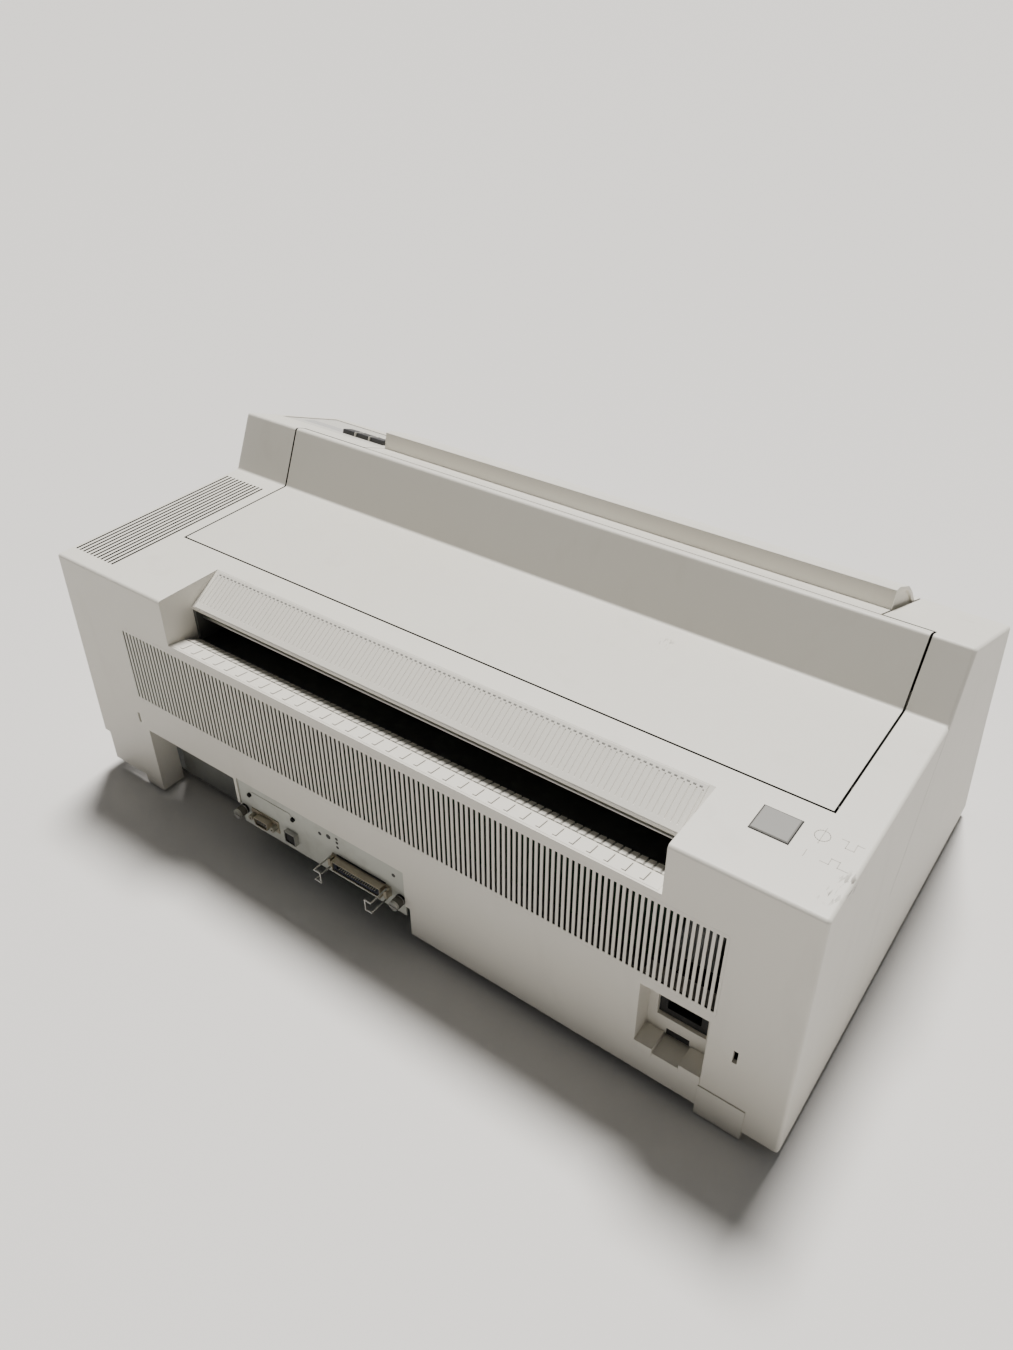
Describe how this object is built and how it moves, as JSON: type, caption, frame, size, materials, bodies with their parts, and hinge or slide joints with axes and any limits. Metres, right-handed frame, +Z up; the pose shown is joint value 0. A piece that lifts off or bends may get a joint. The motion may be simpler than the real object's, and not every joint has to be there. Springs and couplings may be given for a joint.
{
  "type": "wide-carriage serial printer",
  "caption": "Wide desktop serial printer in a cream moulded case: sloping lid and front cover, rear paper slot, vent grille, interface module and mains inlet.",
  "frame": {"origin": "on the table surface, under the centre of the bounding box, at rest with the lid, cover and table in their resting places", "axes": "+X runs along the width to the user's right, towards the end with the operator panel; +Y points out of the connector side, away from the user; +Z is up"},
  "size_m": [0.6687, 0.4314, 0.2716],
  "materials": {
    "case_plastic": "fine moulded texture",
    "lid_plastic": "fine moulded texture",
    "panel_plastic": "light grey, slightly satin",
    "display_plastic": "smoked window",
    "key_plastic": "dark grey keycaps",
    "button_plastic": "mid grey",
    "black_plastic": "black",
    "dark_insulator": "blue-black insulator",
    "plated_pin": "plated contact",
    "zinc_sheet": "zinc plated sheet",
    "module_plate": "light greenish grey",
    "guide_plastic": "near-black ribbed guide",
    "bright_steel": "ground shaft or wire",
    "port_shell": "tinned shell, warm grey",
    "circuit_board": "green laminate",
    "foot_rubber": "black rubber",
    "roller_rubber": "hard black rubber",
    "gear_plastic": "natural acetal",
    "motor_metal": "dark painted can",
    "belt_rubber": "toothed belt",
    "carriage_metal": "die cast"
  },
  "bodies": {
    "case": {"upper_case": "case_plastic", "base_pan": "zinc_sheet", "rubber_feet": "foot_rubber", "rear_vent_grille": "case_plastic", "operator_panel": "panel_plastic", "display_window": "display_plastic", "power_switch": "black_plastic", "power_inlet": "black_plastic", "inlet_pins": "plated_pin", "power_supply": "zinc_sheet", "rear_paper_guide": "guide_plastic", "rear_guide_rod": "bright_steel", "interface_plate": "module_plate", "interface_board": "circuit_board", "serial_port": "port_shell", "port_screws": "bright_steel", "usb_port": "bright_steel", "parallel_port": "port_shell", "parallel_insulator": "dark_insulator", "parallel_contacts": "plated_pin", "blanking_plate": "module_plate", "side_frame_left": "zinc_sheet", "side_frame_right": "zinc_sheet", "guide_shafts": "bright_steel", "carriage_belt": "belt_rubber", "carriage_motor": "motor_metal", "feed_motor": "motor_metal", "main_board": "circuit_board", "fan_frame": "black_plastic"},
    "lid": {"lid": "lid_plastic"},
    "front_cover": {"front_cover": "lid_plastic"},
    "front_table": {"front_table": "case_plastic"},
    "key_1": {"key_1": "key_plastic"},
    "key_2": {"key_2": "key_plastic"},
    "key_3": {"key_3": "key_plastic"},
    "power_button": {"power_button": "button_plastic"},
    "bail_left": {"bail_left": "bright_steel"},
    "bail_right": {"bail_right": "bright_steel"},
    "thumbscrew_left": {"thumbscrew_left": "bright_steel"},
    "thumbscrew_right": {"thumbscrew_right": "bright_steel"},
    "carriage": {"carriage": "carriage_metal", "print_head": "carriage_metal", "ribbon_cassette": "black_plastic"},
    "drive_pulley": {"drive_pulley": "gear_plastic"},
    "idler_pulley": {"idler_pulley": "gear_plastic"},
    "platen": {"platen": "roller_rubber", "platen_gear": "gear_plastic"},
    "idler_gear": {"idler_gear": "gear_plastic"},
    "tractor_shaft": {"tractor_drive_shaft": "bright_steel", "tractor_gear": "gear_plastic"},
    "feed_pinion": {"feed_pinion": "gear_plastic"},
    "pressure_roller": {"pressure_roller": "roller_rubber"},
    "tractor_left": {"tractor_left": "black_plastic"},
    "tractor_right": {"tractor_right": "black_plastic"},
    "tractor_door_left": {"tractor_door_left": "black_plastic"},
    "tractor_door_right": {"tractor_door_right": "black_plastic"},
    "fan_rotor": {"fan_rotor": "black_plastic"}
  },
  "joints": [
    {"name": "lid_hinge", "type": "hinge", "parent": "case", "child": "lid", "pos_m": [0, 0.1054, 0.2198], "axis": [-1, 0, 0], "range_deg": [0, 80]},
    {"name": "front_cover_hinge", "type": "hinge", "parent": "case", "child": "front_cover", "pos_m": [0, -0.1589, 0.1255], "axis": [1, 0, 0], "range_deg": [0, 60]},
    {"name": "front_table_hinge", "type": "hinge", "parent": "case", "child": "front_table", "pos_m": [0, -0.1889, 0.056], "axis": [-1, 0, 0], "range_deg": [0, 85]},
    {"name": "key_1_press", "type": "slide", "parent": "case", "child": "key_1", "axis": [0, 0.3695, -0.9292], "range_m": [0, 0.0015], "stiffness_N_per_m": 300, "springref_m": -0.002},
    {"name": "key_2_press", "type": "slide", "parent": "case", "child": "key_2", "axis": [0, 0.3695, -0.9292], "range_m": [0, 0.0015], "stiffness_N_per_m": 300, "springref_m": -0.002},
    {"name": "key_3_press", "type": "slide", "parent": "case", "child": "key_3", "axis": [0, 0.3695, -0.9292], "range_m": [0, 0.0015], "stiffness_N_per_m": 300, "springref_m": -0.002},
    {"name": "power_button_press", "type": "slide", "parent": "case", "child": "power_button", "axis": [0, 0, -1], "range_m": [0, 0.004], "stiffness_N_per_m": 300, "springref_m": -0.003},
    {"name": "bail_left_swing", "type": "hinge", "parent": "case", "child": "bail_left", "pos_m": [0.045, 0.198, 0.0445], "axis": [0, 0, 1], "range_deg": [-45, 20]},
    {"name": "bail_right_swing", "type": "hinge", "parent": "case", "child": "bail_right", "pos_m": [-0.013, 0.198, 0.0445], "axis": [0, 0, 1], "range_deg": [-20, 45]},
    {"name": "thumbscrew_left_turn", "type": "hinge", "parent": "case", "child": "thumbscrew_left", "pos_m": [0.1462, 0.1976, 0.0425], "axis": [0, 1, 0], "continuous": true},
    {"name": "thumbscrew_right_turn", "type": "hinge", "parent": "case", "child": "thumbscrew_right", "pos_m": [-0.0241, 0.1976, 0.0425], "axis": [0, 1, 0], "continuous": true},
    {"name": "carriage_slide", "type": "slide", "parent": "case", "child": "carriage", "axis": [1, 0, 0], "range_m": [-0.165, 0.165]},
    {"name": "drive_pulley_spin", "type": "hinge", "parent": "case", "child": "drive_pulley", "pos_m": [0.19, -0.1154, 0.105], "axis": [0, 0, 1], "range_deg": [-960, 960]},
    {"name": "idler_pulley_spin", "type": "hinge", "parent": "case", "child": "idler_pulley", "pos_m": [-0.228, -0.1154, 0.105], "axis": [0, 0, 1], "range_deg": [-960, 960]},
    {"name": "platen_spin", "type": "hinge", "parent": "case", "child": "platen", "pos_m": [0, -0.0574, 0.17], "axis": [1, 0, 0], "continuous": true},
    {"name": "idler_gear_spin", "type": "hinge", "parent": "case", "child": "idler_gear", "pos_m": [0.221, 0.006, 0.1512], "axis": [1, 0, 0], "continuous": true},
    {"name": "tractor_shaft_spin", "type": "hinge", "parent": "case", "child": "tractor_shaft", "pos_m": [0, 0.0706, 0.165], "axis": [1, 0, 0], "continuous": true},
    {"name": "feed_pinion_spin", "type": "hinge", "parent": "case", "child": "feed_pinion", "pos_m": [0.215, -0.0191, 0.1078], "axis": [1, 0, 0], "continuous": true},
    {"name": "pressure_roller_spin", "type": "hinge", "parent": "case", "child": "pressure_roller", "pos_m": [0, -0.0574, 0.1467], "axis": [1, 0, 0], "continuous": true},
    {"name": "tractor_left_slide", "type": "slide", "parent": "case", "child": "tractor_left", "axis": [1, 0, 0], "range_m": [-0.1, 0.01]},
    {"name": "tractor_right_slide", "type": "slide", "parent": "case", "child": "tractor_right", "axis": [1, 0, 0], "range_m": [-0.01, 0.1]},
    {"name": "tractor_door_left_hinge", "type": "hinge", "parent": "tractor_left", "child": "tractor_door_left", "pos_m": [0.174, 0.0556, 0.1805], "axis": [0, 1, 0], "range_deg": [0, 100]},
    {"name": "tractor_door_right_hinge", "type": "hinge", "parent": "tractor_right", "child": "tractor_door_right", "pos_m": [-0.199, 0.0556, 0.1805], "axis": [0, -1, 0], "range_deg": [0, 100]},
    {"name": "fan_spin", "type": "hinge", "parent": "case", "child": "fan_rotor", "pos_m": [0.297, 0.0926, 0.212], "axis": [0, 0, 1], "continuous": true}
  ],
  "couplings": [
    {"joint": "drive_pulley_spin", "follows": "carriage_slide", "rad_per_m": 101.01},
    {"joint": "idler_pulley_spin", "follows": "carriage_slide", "rad_per_m": 101.01},
    {"joint": "idler_gear_spin", "follows": "platen_spin", "ratio": -0.57143},
    {"joint": "tractor_shaft_spin", "follows": "platen_spin", "ratio": 1},
    {"joint": "feed_pinion_spin", "follows": "platen_spin", "ratio": 3},
    {"joint": "pressure_roller_spin", "follows": "platen_spin", "ratio": -2.8333}
  ]
}
